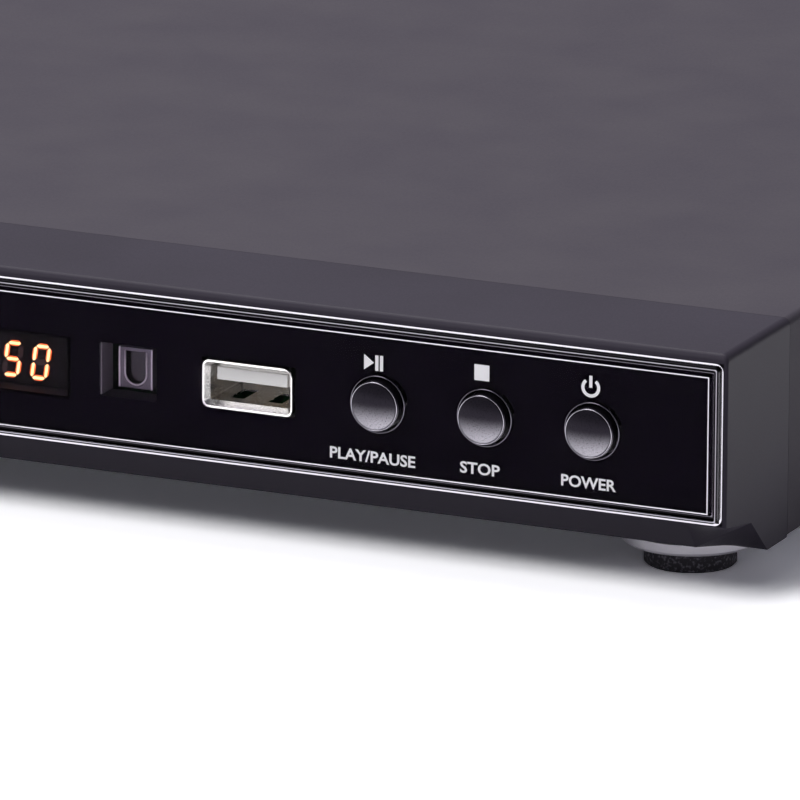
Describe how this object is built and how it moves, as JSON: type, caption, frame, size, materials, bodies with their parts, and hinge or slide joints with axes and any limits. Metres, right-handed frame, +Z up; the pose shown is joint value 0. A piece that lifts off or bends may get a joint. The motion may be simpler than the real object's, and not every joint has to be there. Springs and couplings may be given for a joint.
{
  "type": "disc player with tray",
  "caption": "Slim disc player with a motor-driven tray, gloss front panel with lit digits, a USB port, round buttons, sheet-metal case and rear sockets.",
  "frame": {"origin": "on the table, under the middle of the outer box", "axes": "+X to the right of the person facing the front, -Y out of the front panel towards that person, +Z up"},
  "size_m": [0.31, 0.2152, 0.0376],
  "materials": {
    "bezel_plastic": "satin dark grey moulded plastic",
    "trim_chrome": "dark bright-plated trim",
    "lens_acrylic": "smoked clear acrylic",
    "button_metal": "bright plated plastic cap",
    "board_green": "solder-masked glass-epoxy board",
    "switch_black": "moulded switch body",
    "display_dark": "display with orange segments",
    "can_tin": "tinned steel can",
    "sensor_dark": "dark epoxy",
    "port_nickel": "nickel-plated steel",
    "port_white": "white insulator",
    "contact_gold": "gold-plated contact",
    "chassis_zinc": "zinc-plated sheet steel",
    "cover_paint": "fine-textured dark grey paint",
    "screw_black": "black zinc",
    "screw_zinc": "zinc-plated",
    "foot_silver": "silver-painted plastic",
    "pad_grey": "dark grey speckled foam rubber",
    "chip_epoxy": "black epoxy",
    "sink_aluminium": "extruded",
    "capacitor_sleeve": "black sleeve",
    "board_tan": "phenolic board",
    "ferrite": "ferrite core",
    "winding_tape": "yellow polyester tape",
    "inlet_black": "moulded inlet",
    "pin_brass": "nickel-plated brass",
    "jack_black": "moulded block",
    "jack_nickel": "nickel-plated sleeve",
    "jack_colours": "coloured inserts",
    "loader_black": "black moulded plastic",
    "motor_steel": "plated can",
    "gear_white": "acetal",
    "belt_rubber": "rubber belt",
    "deck_grey": "moulded ring",
    "damper_rubber": "soft rubber",
    "plate_steel": "pressed steel",
    "rod_steel": "ground steel rod",
    "turntable_grey": "moulded with rubber ring",
    "pickup_black": "moulded body",
    "lens_blue": "coated lens in its holder",
    "clamper_white": "moulded clamp",
    "tray_black": "black moulded tray",
    "door_gloss": "gloss black door",
    "ribbon_white": "flat flexible cable"
  },
  "bodies": {
    "case": {"front_bezel": "bezel_plastic", "trim_frame": "trim_chrome", "front_lens": "lens_acrylic", "control_board": "board_green", "button_switches": "switch_black", "display_module": "display_dark", "receiver_shield": "can_tin", "receiver_sensor": "sensor_dark", "port_shell": "port_nickel", "port_tongue": "port_white", "port_contacts": "contact_gold", "bottom_chassis": "chassis_zinc", "top_cover": "cover_paint", "cover_screws": "screw_black", "foot_discs": "foot_silver", "foot_pads": "pad_grey", "main_board": "board_green", "power_board": "board_tan", "board_screws": "screw_zinc", "decoder_chip": "chip_epoxy", "heat_sink": "sink_aluminium", "capacitors": "capacitor_sleeve", "transformer_core": "ferrite", "transformer_winding": "winding_tape", "front_ribbon": "ribbon_white", "jack_block": "jack_black", "jack_sleeves": "jack_nickel", "jack_inserts": "jack_colours", "hdmi_shell": "port_nickel", "hdmi_tongue": "switch_black", "mains_inlet": "inlet_black", "inlet_pins": "pin_brass", "loader_frame": "loader_black", "loader_screws": "screw_zinc", "loading_motor": "motor_steel", "drive_belt": "belt_rubber", "clamp_bridge": "plate_steel"},
    "tray": {"disc_tray": "tray_black", "tray_door": "door_gloss"},
    "drive_wheel": {"drive_gear": "gear_white"},
    "pulley_wheel": {"pulley_gear": "gear_white"},
    "motor_wheel": {"motor_pulley": "gear_white"},
    "cam": {"cam_slider": "gear_white"},
    "deck": {"deck_ring": "deck_grey", "deck_dampers": "damper_rubber", "deck_screws": "screw_zinc", "traverse_plate": "plate_steel", "guide_rods": "rod_steel", "spindle_motor": "motor_steel", "sled_motor": "motor_steel"},
    "disc_drive": {"turntable": "turntable_grey"},
    "pickup": {"pickup_body": "pickup_black", "pickup_lens": "lens_blue"},
    "screw_shaft": {"lead_screw": "rod_steel"},
    "clamp": {"clamper": "clamper_white", "clamper_cap": "clamper_white"},
    "power_key": {"power_button": "button_metal"},
    "stop_key": {"stop_button": "button_metal"},
    "play_key": {"play_button": "button_metal"},
    "open_key": {"open_button": "button_metal"}
  },
  "joints": [
    {"name": "tray_slide", "type": "slide", "parent": "case", "child": "tray", "axis": [0, -1, 0], "range_m": [0, 0.13]},
    {"name": "drive_gear_spin", "type": "hinge", "parent": "case", "child": "drive_wheel", "pos_m": [-0.021, -0.08185, 0.018], "axis": [0, 0, 1], "range_deg": [-936, 0]},
    {"name": "pulley_gear_spin", "type": "hinge", "parent": "case", "child": "pulley_wheel", "pos_m": [-0.041, -0.08185, 0.015], "axis": [0, 0, 1], "range_deg": [0, 2177]},
    {"name": "motor_spin", "type": "hinge", "parent": "case", "child": "motor_wheel", "pos_m": [-0.077, -0.08185, 0.016], "axis": [0, 0, 1], "range_deg": [0, 7423]},
    {"name": "cam_slide", "type": "slide", "parent": "case", "child": "cam", "axis": [1, 0, 0], "range_m": [0, 0.012]},
    {"name": "deck_lift", "type": "hinge", "parent": "case", "child": "deck", "pos_m": [-0.07, 0.04615, 0.0156], "axis": [1, 0, 0], "range_deg": [0, 3]},
    {"name": "turntable_spin", "type": "hinge", "parent": "deck", "child": "disc_drive", "pos_m": [-0.07, -0.03835, 0.024], "axis": [0, 0, 1], "continuous": true},
    {"name": "clamper_spin", "type": "hinge", "parent": "case", "child": "clamp", "pos_m": [-0.07, -0.03835, 0.029], "axis": [0, 0, 1], "continuous": true},
    {"name": "pickup_slide", "type": "slide", "parent": "deck", "child": "pickup", "axis": [0, 1, 0], "range_m": [0, 0.034]},
    {"name": "lead_screw_spin", "type": "hinge", "parent": "deck", "child": "screw_shaft", "pos_m": [-0.039, -0.00585, 0.0146], "axis": [0, 1, 0], "range_deg": [0, 4085]},
    {"name": "power_press", "type": "slide", "parent": "case", "child": "power_key", "axis": [0, 1, 0], "range_m": [0, 0.0005], "stiffness_N_per_m": 300, "springref_m": -0.002},
    {"name": "stop_press", "type": "slide", "parent": "case", "child": "stop_key", "axis": [0, 1, 0], "range_m": [0, 0.0005], "stiffness_N_per_m": 300, "springref_m": -0.002},
    {"name": "play_press", "type": "slide", "parent": "case", "child": "play_key", "axis": [0, 1, 0], "range_m": [0, 0.0005], "stiffness_N_per_m": 300, "springref_m": -0.002},
    {"name": "open_press", "type": "slide", "parent": "case", "child": "open_key", "axis": [0, 1, 0], "range_m": [0, 0.0005], "stiffness_N_per_m": 300, "springref_m": -0.002}
  ],
  "couplings": [
    {"joint": "drive_gear_spin", "follows": "tray_slide", "rad_per_m": -125},
    {"joint": "pulley_gear_spin", "follows": "tray_slide", "rad_per_m": 291.67},
    {"joint": "motor_spin", "follows": "tray_slide", "rad_per_m": 995.69},
    {"joint": "cam_slide", "follows": "tray_slide", "ratio": 0.092308},
    {"joint": "deck_lift", "follows": "tray_slide", "rad_per_m": 0.40277},
    {"joint": "clamper_spin", "follows": "turntable_spin", "ratio": 1},
    {"joint": "lead_screw_spin", "follows": "pickup_slide", "rad_per_m": 2094.4}
  ]
}
